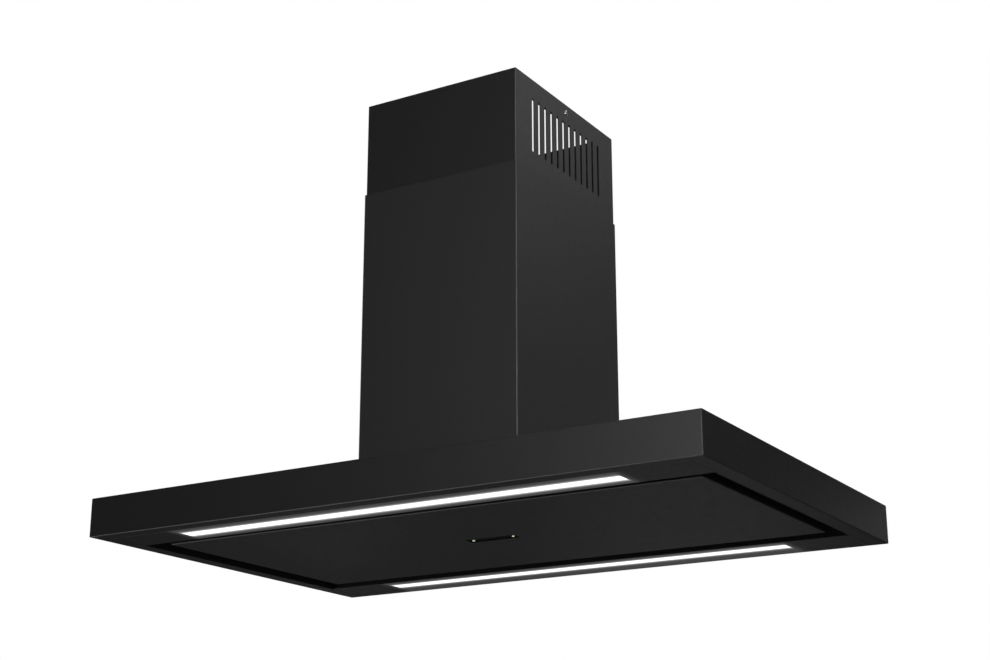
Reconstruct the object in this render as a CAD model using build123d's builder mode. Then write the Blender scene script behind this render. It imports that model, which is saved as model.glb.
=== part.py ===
# Island chimney hood: a slim steel canopy hung from the ceiling by a telescopic chimney.
# Millimetres. z = 0 is the ceiling and +Z is up, X runs along the canopy's long side and -Y is
# the front, so left is -X and right is +X. The chimney stands at its rest height.
import os

from build123d import *

os.makedirs("parts", exist_ok=True)

# ---- driving dimensions ----

fit_gap = 0.3  # between pieces that seat without touching
running_gap = 0.05  # radial, between a turning piece and its pin
seam = 0.5  # visible joint between neighbouring sheets

# canopy
canopy_width = 900.0
canopy_depth = 600.0
canopy_height = 53.0
canopy_drop = 615.0  # ceiling to the canopy's underside
canopy_sheet = 1.2
canopy_edge = 1.5  # outer radius of the upright folds
fold_radius = 1.2  # outer radius of the other folds
flange_width = 23.0  # return flange round the underside
flange_lip = 9.0
air_opening = (176.0, 208.0)  # through the top sheet, below the blower

# chimney covers
chimney_width = 247.0
chimney_depth = 285.0
cover_sheet = 1.0
cover_gap = 0.5  # lower cover to upper cover
lower_cover_length = 426.0
upper_cover_length = 460.0
cover_flange = 10.0  # foot of the lower covers
vent_count = 12
vent_pitch = 17.15
vent_width = 5.0
vent_length = 80.0
vent_drop = 27.5  # ceiling to the top of the vents
cover_screw_drop = 12.5
cover_screw_radius = 2.0
cover_screw_head = 3.6

# ceiling bracket
bracket_sheet = 2.0
bracket_height = 24.0
bracket_flange = 22.0
cover_standoff = 5.0  # bracket to the inside of the upper cover
anchor_spacing = (206.0, 180.0)
anchor_slot = (12.0, 7.0)
clip_width = 24.0
clip_height = 16.0
clip_sheet = 1.5

# uprights, two telescoping angles in each corner
upright_leg = 25.0
upright_sheet = 2.0
upper_upright_length = 456.0
lower_upright_length = 422.0
foot_size = 12.0
travel_up = 90.0  # height adjustment from the rest height
travel_down = 280.0
height_bolt_radius = 3.0
height_bolt_inset = 12.5  # from the upright's outer corner
height_bolt_depth = 12.0  # below the top of the lower upright
bracket_bolt_radius = 2.5
hexagon_ratio = 1.9  # corner radius of a head or nut to the bolt's radius
head_ratio = 1.2  # its height to the bolt's radius
nut_ratio = 1.5

# blower
box_width = 196.0
box_depth = 228.0
box_height = 222.0
box_sheet = 1.0
box_flange = 12.0
blower_offset = 8.0  # axle behind the middle of the box
axle_height = 105.0  # above the canopy
scroll_half_width = 65.0
scroll_wall = 2.0
scroll_tongue_radius = 80.0
scroll_side_radius = 88.0
scroll_back_radius = 98.0
tongue_angle = 70.0
inlet_radius = 64.0
inlet_rim = 3.0
inlet_rim_height = 5.0
inlet_rim_round = 1.8
wheel_radius = 75.0
wheel_half_width = 55.0
wheel_ring = 3.0
blade_count = 36
blade_depth = 14.0
blade_sheet = 1.0
blade_curve = 11.0
motor_radius = 42.0
motor_length = 64.0
motor_round = 7.0
motor_plate_radius = 29.0
motor_gap = 4.0  # motor to the scroll's inlet rim
arm_count = 3
arm_width = 14.0
shaft_radius = 4.0
bearing_radius = 8.0
bearing_length = 8.0
hub_radius = 12.0
hub_half_length = 7.0
capacitor_radius = 14.0
capacitor_length = 62.0
capacitor_round = 2.0

# outlet
duct_radius = 75.0
collar_wall = 2.5
collar_height = 78.0
adapter_height = 25.0
collar_flange = 8.0
collar_flange_sheet = 3.0
collar_corner = 10.0
seat_width = 5.5
seat_sheet = 2.0
seat_height = 4.0
spindle_radius = 2.0
knuckle_radius = 4.0
knuckle_length = 20.0
knuckle_spacing = 30.0
flap_sheet = 1.5
flap_play = 2.0  # flap to the collar's wall
flap_relief = 0.6  # flap to the other flap's knuckles
grommet_radius = 9.0
grommet_bore = 6.0
grommet_rim = 3.0
grommet_lip = 2.0
grommet_place = (75.0, 95.0)

# suction cavity and lights
light_plate_width = 84.0  # canopy's edge to the cavity
wall_fold = 15.0  # top fold of the light plates and side rails
light_end = 124.0  # canopy's edge to the end of the light
light_inset = 54.0  # canopy's edge to the middle of the light
light_width = 20.0
channel_width = 24.0
channel_height = 14.0
led_board_width = 12.0
led_board_sheet = 1.6
diffuser_rim = 2.0

# filters
electrics_bay = 150.0  # canopy's edge to the side of the pan
pan_margin = (16.0, 15.0)  # side of the pan to the filters
pan_drop = 23.8  # top sheet to the pan's underside
pan_sheet = 1.0
pan_fold = 12.0
filter_depth = 300.0
filter_thickness = 9.5
filter_corner = 3.0
filter_gap = 8.0  # between the two filters
filter_bar = 12.0
filter_front_bar = 42.0
filter_groove = 4.0
mesh_thickness = 6.0
rail_shelf = 10.0
latch_travel = 5.0
latch_pocket = (60.0, 24.0, 4.0)
latch_plate = (44.0, 18.0, 2.4)
latch_nose_width = 20.0
latch_front_wall = 6.0
latch_reach = 4.2  # nose past the filter's front face
latch_tail = latch_travel + 2.0
latch_play = 0.2
pull_length = 30.0
pull_height = 3.0

# suction panel
suction_gap = (24.3, 23.0)  # round the panel, at its sides and ends
panel_recess = 2.5  # above the canopy's underside
panel_lip = 12.0
panel_edge = 2.0
hinge_inset = 15.0  # axis from the panel's rear edge
hinge_rise = 8.0  # axis above the panel sheet
hinge_pin_radius = 3.0
hinge_pin_head = (3.9, 1.0)
hinge_web = 8.0
hinge_ear_sheet = 2.0
hinge_ear_radius = 5.0
hinge_knuckle_length = 18.0
leaf_size = (34.0, 26.0)
leaf_sheet = 1.5
hinge_foot = (42.0, 20.0)
hinge_foot_gap = 3.0  # between the foot and the pan's fold
hinge_notch = 30.0
catch_shelf = 14.0
catch_sheet = 1.5
catch_foot = 12.0
magnet_size = (28.0, 11.0, 7.0)
strike_size = (24.0, 10.0, 1.5)

# sensor
sensor_slot = (76.0, 20.0)
sensor_box = (96.0, 36.0, 9.3)
sensor_wall = 2.8
window_size = (80.0, 24.0, 1.5)
light_dot_radius = 1.8
light_dot_spacing = 62.6
light_dot_offset = 2.0

# electrics in the cavity
control_size = (76.0, 120.0, 28.0)
control_wall = 2.0
driver_size = (50.0, 140.0, 20.0)
driver_ear = 12.5  # mounting ear past each end of the driver
electrics_gap = 6.0  # between the control box and the pan's fold
box_corner = 4.0
box_edge = 1.5

# ---- places worked out from them ----

canopy_bottom = -canopy_drop
canopy_top = canopy_bottom + canopy_height
roof = canopy_top - canopy_sheet  # underside of the top sheet
well_x = canopy_width / 2 - flange_width
well_y = canopy_depth / 2 - flange_width
cavity_x = well_x - seam - canopy_sheet
cavity_y = canopy_depth / 2 - light_plate_width

upper_width = chimney_width - 2 * (cover_sheet + cover_gap)
upper_depth = chimney_depth - 2 * (cover_sheet + cover_gap)
bracket_x = upper_width / 2 - cover_sheet - cover_standoff
bracket_y = upper_depth / 2 - cover_sheet - cover_standoff
upper_x = bracket_x - bracket_sheet
upper_y = bracket_y - bracket_sheet
lower_x = upper_x - upright_sheet - fit_gap
lower_y = upper_y - upright_sheet - fit_gap
lower_leg = upright_leg - upright_sheet - fit_gap
height_bolt_y = upper_y - height_bolt_inset
height_bolt_z = canopy_top + lower_upright_length - height_bolt_depth
bracket_bolt_x = upper_x - upright_leg / 2
bracket_bolt_z = -bracket_height / 2

box_top = canopy_top + box_height
blower_y = blower_offset
blower_z = canopy_top + axle_height
outlet_right = scroll_side_radius - scroll_tongue_radius
outlet_right += Vector(scroll_tongue_radius, 0).rotate(Axis.Z, tongue_angle).X
outlet_length = scroll_back_radius + outlet_right
collar_y = blower_y + (outlet_right - scroll_back_radius) / 2
motor_start = -scroll_half_width - inlet_rim_height - motor_gap
motor_end = motor_start + motor_length
arm_reach = inlet_radius + inlet_rim + arm_width
spigot_base = box_top + adapter_height
flap_z = spigot_base + seat_height + seat_sheet + fit_gap + flap_sheet / 2

plate_top = canopy_bottom + canopy_sheet
light_length = canopy_width - 2 * light_end
light_middle = canopy_depth / 2 - light_inset
pan_width = canopy_width - 2 * electrics_bay
pan_depth = filter_depth + 2 * pan_margin[1]
filter_width = (pan_width - filter_gap) / 2 - pan_margin[0]
filter_spacing = filter_width + filter_gap
electrics_offset = pan_width / 2 + pan_fold + electrics_gap + control_size[0] / 2
pan_bottom = roof - pan_drop
filter_top = pan_bottom - fit_gap
filter_bottom = filter_top - filter_thickness
shelf_top = filter_bottom - fit_gap
rail_y = filter_depth / 2 + seam
latch_z = filter_bottom + latch_pocket[2] / 2

panel_width = 2 * (cavity_x - suction_gap[0])
panel_depth = 2 * (cavity_y - suction_gap[1])
panel_bottom = canopy_bottom + panel_recess
panel_inside = panel_bottom + canopy_sheet
hinge_spacing = pan_width + 2 * (pan_fold + hinge_foot_gap) + hinge_foot[0]
hinge_y = panel_depth / 2 - hinge_inset
hinge_z = panel_inside + hinge_rise
catch_y = -hinge_y

corners = {
    "front_left": (-1, -1),
    "front_right": (1, -1),
    "rear_left": (-1, 1),
    "rear_right": (1, 1),
}
sides = {"left": -1, "right": 1}
ends = {"front": -1, "rear": 1}


def folded(points, sheet, side=Side.RIGHT):
    """Section of a folded sheet whose outer face follows the points."""
    with BuildSketch() as section:
        with BuildLine():
            Polyline(*points)
            offset(amount=sheet, side=side, kind=Kind.INTERSECTION)
        make_face()
    return section.sketch


def angle(corner_x, corner_y, leg, sheet, sx, sy):
    """Section of an upright angle with its outer corner at (corner_x, corner_y)."""
    with BuildSketch() as section:
        with Locations((sx * (corner_x - leg / 2), sy * (corner_y - leg / 2))):
            Rectangle(leg, leg)
        with Locations((sx * (corner_x - sheet - leg / 2), sy * (corner_y - sheet - leg / 2))):
            Rectangle(leg, leg, mode=Mode.SUBTRACT)
    return section.sketch


# ---- ceiling side ----

with BuildPart() as ceiling_bracket:
    with BuildSketch():
        Rectangle(2 * bracket_x, 2 * bracket_y)
        Rectangle(2 * upper_x, 2 * upper_y, mode=Mode.SUBTRACT)
    extrude(amount=-bracket_height)
    with BuildSketch():
        with GridLocations(2 * bracket_x - bracket_flange, 0, 2, 1):
            Rectangle(bracket_flange, 2 * bracket_y)
        with GridLocations(*anchor_spacing, 2, 2):
            SlotOverall(*anchor_slot, mode=Mode.SUBTRACT)
    extrude(amount=-bracket_sheet)
    # standing clips that carry the upper cover's screws
    with BuildSketch(Plane.XY.offset(-cover_screw_drop + clip_height / 2)):
        Rectangle(2 * (bracket_x + cover_standoff), clip_width)
        Rectangle(2 * (bracket_x + cover_standoff - clip_sheet), clip_width - 2 * clip_sheet,
                  mode=Mode.SUBTRACT)
        Rectangle(2 * bracket_x, clip_width, mode=Mode.SUBTRACT)
    extrude(amount=-clip_height)
    for sx in sides.values():
        with BuildSketch(Plane.YZ.offset(sx * bracket_x)):
            with Locations((0, -cover_screw_drop)):
                Circle(cover_screw_radius + running_gap)
        extrude(amount=sx * cover_standoff, mode=Mode.SUBTRACT)
    with BuildSketch(Plane.XZ):
        with Locations((0, bracket_bolt_z)):
            with GridLocations(2 * bracket_bolt_x, 0, 2, 1):
                Circle(bracket_bolt_radius + running_gap)
    extrude(amount=bracket_y, both=True, mode=Mode.SUBTRACT)
ceiling_bracket.part.label = "ceiling_bracket"
export_step(ceiling_bracket.part, "parts/ceiling_bracket.step")

with BuildPart() as upper_chimney_cover:
    with BuildSketch():
        RectangleRounded(upper_width, upper_depth, canopy_edge)
        Rectangle(upper_width - 2 * cover_sheet, upper_depth - 2 * cover_sheet, mode=Mode.SUBTRACT)
    extrude(amount=-upper_cover_length)
    with BuildSketch(Plane.YZ):
        with Locations((0, -vent_drop - vent_length / 2)):
            with GridLocations(vent_pitch, 0, vent_count, 1):
                SlotOverall(vent_length, vent_width, rotation=90)
        with Locations((0, -cover_screw_drop)):
            Circle(cover_screw_radius + running_gap)
    extrude(amount=upper_width, both=True, mode=Mode.SUBTRACT)
upper_chimney_cover.part.label = "upper_chimney_cover"
export_step(upper_chimney_cover.part, "parts/upper_chimney_cover.step")

with BuildPart() as cover_screws:
    for sx in sides.values():
        with BuildSketch(Plane.YZ.offset(sx * upper_width / 2)):
            with Locations((0, -cover_screw_drop)):
                Circle(cover_screw_head)
        extrude(amount=sx * cover_screw_radius)
        with BuildSketch(Plane.YZ.offset(sx * upper_width / 2)):
            with Locations((0, -cover_screw_drop)):
                Circle(cover_screw_radius)
        extrude(amount=-sx * (cover_sheet + cover_standoff - seam))
cover_screws.part.label = "cover_screws"
export_step(cover_screws.part, "parts/cover_screws.step")

# The corner angles that hang from the bracket, each with a long slot for its clamping bolt.
slot_top = height_bolt_z + travel_up + upright_leg / 2
slot_bottom = height_bolt_z - travel_down - upright_leg / 2
for corner, (sx, sy) in corners.items():
    with BuildPart() as upper_upright:
        with BuildSketch(Plane.XY.offset(-bracket_sheet)):
            add(angle(upper_x, upper_y, upright_leg, upright_sheet, sx, sy))
        extrude(amount=-upper_upright_length)
        with BuildSketch(Plane.YZ.offset(sx * upper_x)):
            with Locations((sy * height_bolt_y, (slot_top + slot_bottom) / 2)):
                SlotOverall(slot_top - slot_bottom, 2 * (height_bolt_radius + fit_gap), rotation=90)
        extrude(amount=-sx * upright_sheet, mode=Mode.SUBTRACT)
        with BuildSketch(Plane.XZ.offset(-sy * upper_y)):
            with Locations((sx * bracket_bolt_x, bracket_bolt_z)):
                Circle(bracket_bolt_radius + running_gap)
        extrude(amount=sy * upright_sheet, mode=Mode.SUBTRACT)
    upper_upright.part.label = f"upper_upright_{corner}"
    export_step(upper_upright.part, f"parts/upper_upright_{corner}.step")


def bolt(plane, at, radius, grip):
    """Hexagon bolt whose head stands on the plane, with its nut at the far end of the grip."""
    with BuildPart() as fastener:
        with BuildSketch(plane):
            with Locations(at):
                RegularPolygon(hexagon_ratio * radius, 6)
        extrude(amount=head_ratio * radius)
        with BuildSketch(plane):
            with Locations(at):
                Circle(radius)
        extrude(amount=-grip - 2 * radius)
        with BuildSketch(plane.offset(-grip)):
            with Locations(at):
                RegularPolygon(hexagon_ratio * radius, 6)
                Circle(radius + running_gap, mode=Mode.SUBTRACT)
        extrude(amount=-nut_ratio * radius)
    return fastener.part


with BuildPart() as bracket_bolts:
    for sx, sy in corners.values():
        outside = Plane((0, sy * bracket_y, 0), x_dir=(1, 0, 0), z_dir=(0, sy, 0))
        place = outside.to_local_coords(Vector(sx * bracket_bolt_x, sy * bracket_y, bracket_bolt_z))
        add(bolt(outside, (place.X, place.Y), bracket_bolt_radius, bracket_sheet + upright_sheet))
bracket_bolts.part.label = "bracket_bolts"
export_step(bracket_bolts.part, "parts/bracket_bolts.step")

# ---- canopy side: covers and uprights ----

with BuildPart() as canopy_shell:
    with BuildSketch(Plane.XY.offset(canopy_bottom)):
        RectangleRounded(canopy_width, canopy_depth, canopy_edge)
    extrude(amount=canopy_height)
    fillet(canopy_shell.faces().sort_by(Axis.Z)[0].edges(), fold_radius)
    fillet(canopy_shell.faces().sort_by(Axis.Z)[-1].edges(), fold_radius)
    with BuildSketch(Plane.XY.offset(plate_top)):
        Rectangle(canopy_width - 2 * canopy_sheet, canopy_depth - 2 * canopy_sheet)
    extrude(amount=roof - plate_top, mode=Mode.SUBTRACT)
    with BuildSketch(Plane.XY.offset(canopy_bottom)):
        Rectangle(2 * (well_x + canopy_sheet), 2 * (well_y + canopy_sheet))
    extrude(amount=flange_lip)
    with BuildSketch(Plane.XY.offset(canopy_bottom)):
        Rectangle(2 * well_x, 2 * well_y)
    extrude(amount=flange_lip, mode=Mode.SUBTRACT)
    with BuildSketch(Plane.XY.offset(canopy_top)):
        Rectangle(*air_opening)
    extrude(amount=-canopy_sheet, mode=Mode.SUBTRACT)
canopy_shell.part.label = "canopy_shell"
export_step(canopy_shell.part, "parts/canopy_shell.step")

# The lower cover is a plain front sheet and a wrap that closes the other three sides.
wrap_front = -chimney_depth / 2 + cover_sheet + fit_gap
with BuildPart() as lower_cover_front:
    with BuildSketch(Plane.XY.offset(canopy_top)):
        with Locations((0, -chimney_depth / 2 + cover_sheet / 2)):
            Rectangle(chimney_width, cover_sheet)
    extrude(amount=lower_cover_length)
    with BuildSketch(Plane.XY.offset(canopy_top)):
        with Locations((0, -chimney_depth / 2 + cover_sheet + cover_flange / 2)):
            Rectangle(2 * lower_x, cover_flange)
    extrude(amount=cover_sheet)
lower_cover_front.part.label = "lower_cover_front"
export_step(lower_cover_front.part, "parts/lower_cover_front.step")

with BuildPart() as lower_cover_rear:
    with BuildSketch(Plane.XY.offset(canopy_top)):
        RectangleRounded(chimney_width, chimney_depth, canopy_edge)
        Rectangle(chimney_width - 2 * cover_sheet, chimney_depth - 2 * cover_sheet,
                  mode=Mode.SUBTRACT)
    extrude(amount=lower_cover_length)
    with BuildSketch(Plane.XY.offset(canopy_top)):
        with GridLocations(chimney_width - 2 * cover_sheet - cover_flange, 0, 2, 1):
            Rectangle(cover_flange, 2 * lower_y)
        with Locations((0, chimney_depth / 2 - cover_sheet - cover_flange / 2)):
            Rectangle(2 * lower_x, cover_flange)
    extrude(amount=cover_sheet)
    with BuildSketch(Plane.XY.offset(canopy_top)):
        with Locations((0, wrap_front)):
            Rectangle(chimney_width, chimney_depth, align=(Align.CENTER, Align.MAX))
    extrude(amount=lower_cover_length, mode=Mode.SUBTRACT)
lower_cover_rear.part.label = "lower_cover_rear"
export_step(lower_cover_rear.part, "parts/lower_cover_rear.step")

for corner, (sx, sy) in corners.items():
    with BuildPart() as lower_upright:
        with BuildSketch(Plane.XY.offset(canopy_top)):
            add(angle(lower_x, lower_y, lower_leg, upright_sheet, sx, sy))
        extrude(amount=lower_upright_length)
        with BuildSketch(Plane.XY.offset(canopy_top)):
            with Locations((sx * (lower_x - foot_size / 2), sy * (lower_y - foot_size / 2))):
                Rectangle(foot_size, foot_size)
        extrude(amount=upright_sheet)
        with BuildSketch(Plane.YZ.offset(sx * lower_x)):
            with Locations((sy * height_bolt_y, height_bolt_z)):
                Circle(height_bolt_radius + running_gap)
        extrude(amount=-sx * upright_sheet, mode=Mode.SUBTRACT)
    lower_upright.part.label = f"lower_upright_{corner}"
    export_step(lower_upright.part, f"parts/lower_upright_{corner}.step")

with BuildPart() as height_bolts:
    bolt_grip = 2 * upright_sheet + 2 * fit_gap
    for sx, sy in corners.values():
        inside = Plane((sx * (lower_x - upright_sheet), 0, 0), x_dir=(0, 1, 0), z_dir=(-sx, 0, 0))
        place = inside.to_local_coords(Vector(inside.origin.X, sy * height_bolt_y, height_bolt_z))
        add(bolt(inside, (place.X, place.Y), height_bolt_radius, bolt_grip))
height_bolts.part.label = "height_bolts"
export_step(height_bolts.part, "parts/height_bolts.step")

# ---- blower ----

with BuildPart() as blower_box:
    with BuildSketch(Plane.XY.offset(canopy_top)):
        Rectangle(box_width, box_depth)
        Rectangle(box_width - 2 * box_sheet, box_depth - 2 * box_sheet, mode=Mode.SUBTRACT)
    extrude(amount=box_height)
    with BuildSketch(Plane.XY.offset(canopy_top)):
        with GridLocations(0, box_depth + box_flange, 1, 2):
            Rectangle(box_width, box_flange)
    extrude(amount=box_sheet)
    with BuildSketch(Plane.XY.offset(box_top)):
        Rectangle(box_width, box_depth)
        with Locations((0, collar_y)):
            Rectangle(2 * (scroll_half_width - scroll_wall), outlet_length, mode=Mode.SUBTRACT)
        with Locations(grommet_place):
            Circle(grommet_radius, mode=Mode.SUBTRACT)
    extrude(amount=-box_sheet)
blower_box.part.label = "blower_box"
export_step(blower_box.part, "parts/blower_box.step")


def scroll_section():
    """Air path of the scroll in the YZ plane: three growing arcs and a straight outlet."""
    shift_side = scroll_side_radius - scroll_tongue_radius
    shift_back = scroll_back_radius - scroll_side_radius
    top = box_top - blower_z + scroll_wall
    with BuildSketch() as section:
        with BuildLine():
            tongue = CenterArc((shift_side, 0), scroll_tongue_radius, tongue_angle, -tongue_angle)
            CenterArc((0, 0), scroll_side_radius, 0, -90)
            back = CenterArc((0, shift_back), scroll_back_radius, -90, -90)
            Polyline(back @ 1, (-scroll_back_radius, top), (outlet_right, top), tongue @ 0)
        make_face()
    return Pos(blower_y, blower_z) * section.sketch


air_path = scroll_section()
scroll_outline = offset(air_path, amount=scroll_wall, kind=Kind.INTERSECTION)
for side, sx in sides.items():
    with BuildPart() as scroll_half:
        with BuildSketch(Plane.YZ):
            add(scroll_outline)
        extrude(amount=sx * scroll_half_width)
        with BuildSketch(Plane.YZ):
            add(air_path)
        extrude(amount=sx * (scroll_half_width - scroll_wall), mode=Mode.SUBTRACT)
        with BuildSketch(Plane.YZ.offset(sx * (scroll_half_width - scroll_wall))):
            with Locations((blower_y, blower_z)):
                Circle(inlet_radius + inlet_rim)
        extrude(amount=sx * (scroll_wall + inlet_rim_height))
        rim = scroll_half.edges().filter_by(GeomType.CIRCLE).group_by(Axis.X)[-1 if sx > 0 else 0]
        fillet(rim, inlet_rim_round)
        with BuildSketch(Plane.YZ.offset(sx * (scroll_half_width - scroll_wall))):
            with Locations((blower_y, blower_z)):
                Circle(inlet_radius)
        extrude(amount=sx * (scroll_wall + inlet_rim_height), mode=Mode.SUBTRACT)
        split(bisect_by=Plane.XY.offset(box_top - box_sheet), keep=Keep.BOTTOM)
    scroll_half.part.label = f"{side}_scroll_half"
    export_step(scroll_half.part, f"parts/{side}_scroll_half.step")

with BuildSketch() as blade:
    with BuildLine():
        RadiusArc((wheel_radius - blade_depth, 0), (wheel_radius, blade_depth / 3), blade_curve)
        offset(amount=blade_sheet, side=Side.LEFT)
    make_face()

# Centrifugal wheel with forward-curved blades on both sides of its disc.
with BuildPart() as impeller:
    with BuildSketch(Plane.YZ.offset(-wheel_half_width)):
        with Locations((blower_y, blower_z)):
            with PolarLocations(0, blade_count):
                add(blade.sketch)
    extrude(amount=2 * wheel_half_width)
    with BuildSketch(Plane.YZ.offset(-wheel_ring / 2)):
        with Locations((blower_y, blower_z)):
            Circle(wheel_radius)
    extrude(amount=wheel_ring)
    for sx in sides.values():
        with BuildSketch(Plane.YZ.offset(sx * wheel_half_width)):
            with Locations((blower_y, blower_z)):
                Circle(wheel_radius + wheel_ring / 2)
                Circle(wheel_radius - wheel_ring, mode=Mode.SUBTRACT)
        extrude(amount=-sx * wheel_ring)
    with BuildSketch(Plane.YZ.offset(-hub_half_length)):
        with Locations((blower_y, blower_z)):
            Circle(hub_radius)
    extrude(amount=2 * hub_half_length)
    with BuildSketch(Plane.YZ.offset(-hub_half_length)):
        with Locations((blower_y, blower_z)):
            Circle(shaft_radius)
    extrude(amount=2 * hub_half_length, mode=Mode.SUBTRACT)
impeller.part.label = "impeller"
export_step(impeller.part, "parts/impeller.step")

with BuildPart() as motor_shaft:
    with BuildSketch(Plane.YZ.offset(motor_start)):
        with Locations((blower_y, blower_z)):
            Circle(shaft_radius)
    extrude(amount=hub_half_length + shaft_radius - motor_start)
motor_shaft.part.label = "motor_shaft"
export_step(motor_shaft.part, "parts/motor_shaft.step")

with BuildPart() as motor:
    with BuildSketch(Plane.YZ.offset(motor_start)):
        with Locations((blower_y, blower_z)):
            Circle(motor_radius)
    extrude(amount=motor_length)
    fillet(motor.edges().filter_by(GeomType.CIRCLE), motor_round)
    with BuildSketch(Plane.YZ.offset(motor_start)):
        with Locations((blower_y, blower_z)):
            Circle(shaft_radius + seam)
    extrude(amount=motor_length, mode=Mode.SUBTRACT)
    for end, sx in ((motor_start, 1), (motor_end, -1)):
        with BuildSketch(Plane.YZ.offset(end)):
            with Locations((blower_y, blower_z)):
                Circle(bearing_radius)
        extrude(amount=sx * bearing_length, mode=Mode.SUBTRACT)
motor.part.label = "motor"
export_step(motor.part, "parts/motor.step")

with BuildPart() as motor_bearings:
    for end, sx in ((motor_start, 1), (motor_end, -1)):
        with BuildSketch(Plane.YZ.offset(end)):
            with Locations((blower_y, blower_z)):
                Circle(bearing_radius)
                Circle(shaft_radius + running_gap, mode=Mode.SUBTRACT)
        extrude(amount=sx * bearing_length)
motor_bearings.part.label = "motor_bearings"
export_step(motor_bearings.part, "parts/motor_bearings.step")

# Three arms carry the motor in the left inlet, on feet that stand on the scroll's side.
with BuildPart() as motor_bracket:
    with BuildSketch(Plane.YZ.offset(motor_start)):
        with Locations((blower_y, blower_z)):
            Circle(motor_plate_radius)
            with PolarLocations(0, arm_count, start_angle=30):
                Rectangle(arm_reach, arm_width, align=(Align.MIN, Align.CENTER))
            Circle(bearing_radius, mode=Mode.SUBTRACT)
    extrude(amount=-upright_sheet)
    with BuildSketch(Plane.YZ.offset(motor_start)):
        with Locations((blower_y, blower_z)):
            with PolarLocations(arm_reach - arm_width / 4, arm_count, start_angle=30):
                Rectangle(arm_width / 2, arm_width)
    extrude(amount=-scroll_half_width - motor_start)
motor_bracket.part.label = "motor_bracket"
export_step(motor_bracket.part, "parts/motor_bracket.step")

capacitor_x = -box_width / 2 + box_sheet + capacitor_radius + fit_gap
capacitor_y = -box_depth / 2 + box_sheet + capacitor_radius + fit_gap
with BuildPart() as motor_capacitor:
    with BuildSketch(Plane.XY.offset(blower_z - capacitor_length / 2)):
        with Locations((capacitor_x, capacitor_y)):
            Circle(capacitor_radius)
    extrude(amount=capacitor_length)
    fillet(motor_capacitor.edges().filter_by(GeomType.CIRCLE), capacitor_round)
motor_capacitor.part.label = "motor_capacitor"
export_step(motor_capacitor.part, "parts/motor_capacitor.step")

# ---- outlet collar with its two flaps ----

with BuildPart() as outlet_collar:
    outlet_x = 2 * (scroll_half_width - scroll_wall)
    with BuildSketch(Plane.XY.offset(box_top)):
        with Locations((0, collar_y)):
            Rectangle(outlet_x + 2 * collar_flange, outlet_length + 2 * collar_flange)
    extrude(amount=collar_flange_sheet)
    with BuildSketch(Plane.XY.offset(box_top)):
        with Locations((0, collar_y)):
            RectangleRounded(outlet_x + 2 * collar_wall, outlet_length + 2 * collar_wall,
                             collar_corner + collar_wall)
    with BuildSketch(Plane.XY.offset(spigot_base)):
        with Locations((0, collar_y)):
            Circle(duct_radius)
    loft()
    with BuildSketch(Plane.XY.offset(spigot_base)):
        with Locations((0, collar_y)):
            Circle(duct_radius)
    extrude(amount=collar_height)
    with BuildSketch(Plane.XY.offset(box_top)):
        with Locations((0, collar_y)):
            RectangleRounded(outlet_x, outlet_length, collar_corner)
    with BuildSketch(Plane.XY.offset(spigot_base)):
        with Locations((0, collar_y)):
            Circle(duct_radius - collar_wall)
    loft(mode=Mode.SUBTRACT)
    with BuildSketch(Plane.XY.offset(spigot_base)):
        with Locations((0, collar_y)):
            Circle(duct_radius - collar_wall)
    extrude(amount=collar_height, mode=Mode.SUBTRACT)
    # seat for the closed flaps, open where the spindle crosses
    with BuildSketch(Plane.XY.offset(spigot_base + seat_height)):
        with Locations((0, collar_y)):
            Circle(duct_radius - collar_wall / 2)
            Circle(duct_radius - collar_wall - seat_width, mode=Mode.SUBTRACT)
            Rectangle(2 * duct_radius, 2 * (spindle_radius + seam), mode=Mode.SUBTRACT)
    extrude(amount=seat_sheet)
    with BuildSketch(Plane.YZ):
        with Locations((collar_y, flap_z)):
            Circle(spindle_radius + running_gap)
    extrude(amount=duct_radius, both=True, mode=Mode.SUBTRACT)
outlet_collar.part.label = "outlet_collar"
export_step(outlet_collar.part, "parts/outlet_collar.step")

with BuildPart() as damper_spindle:
    with BuildSketch(Plane.YZ):
        with Locations((collar_y, flap_z)):
            Circle(spindle_radius)
    extrude(amount=duct_radius - seam, both=True)
damper_spindle.part.label = "damper_spindle"
export_step(damper_spindle.part, "parts/damper_spindle.step")

flap_radius = duct_radius - collar_wall - flap_play
flap_start = knuckle_radius + flap_relief
for end, sy in ends.items():
    knuckles = (-sy * 1.5 * knuckle_spacing, sy * 0.5 * knuckle_spacing)
    with BuildPart() as damper_flap:
        with BuildSketch(Plane.XY.offset(flap_z - flap_sheet / 2)):
            with Locations((0, collar_y)):
                Circle(flap_radius)
                with Locations((0, sy * (flap_start - flap_radius))):
                    Rectangle(2 * flap_radius, 2 * flap_radius, mode=Mode.SUBTRACT)
                with Locations(*((middle, sy * flap_start / 2) for middle in knuckles)):
                    Rectangle(knuckle_length, flap_start + seam)
        extrude(amount=flap_sheet)
        for middle in knuckles:
            with BuildSketch(Plane.YZ.offset(middle)):
                with Locations((collar_y, flap_z)):
                    Circle(knuckle_radius)
            extrude(amount=knuckle_length / 2, both=True)
            with BuildSketch(Plane.YZ.offset(middle)):
                with Locations((collar_y, flap_z)):
                    Circle(spindle_radius + running_gap)
            extrude(amount=knuckle_length / 2, both=True, mode=Mode.SUBTRACT)
    damper_flap.part.label = f"{end}_damper_flap"
    export_step(damper_flap.part, f"parts/{end}_damper_flap.step")

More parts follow.
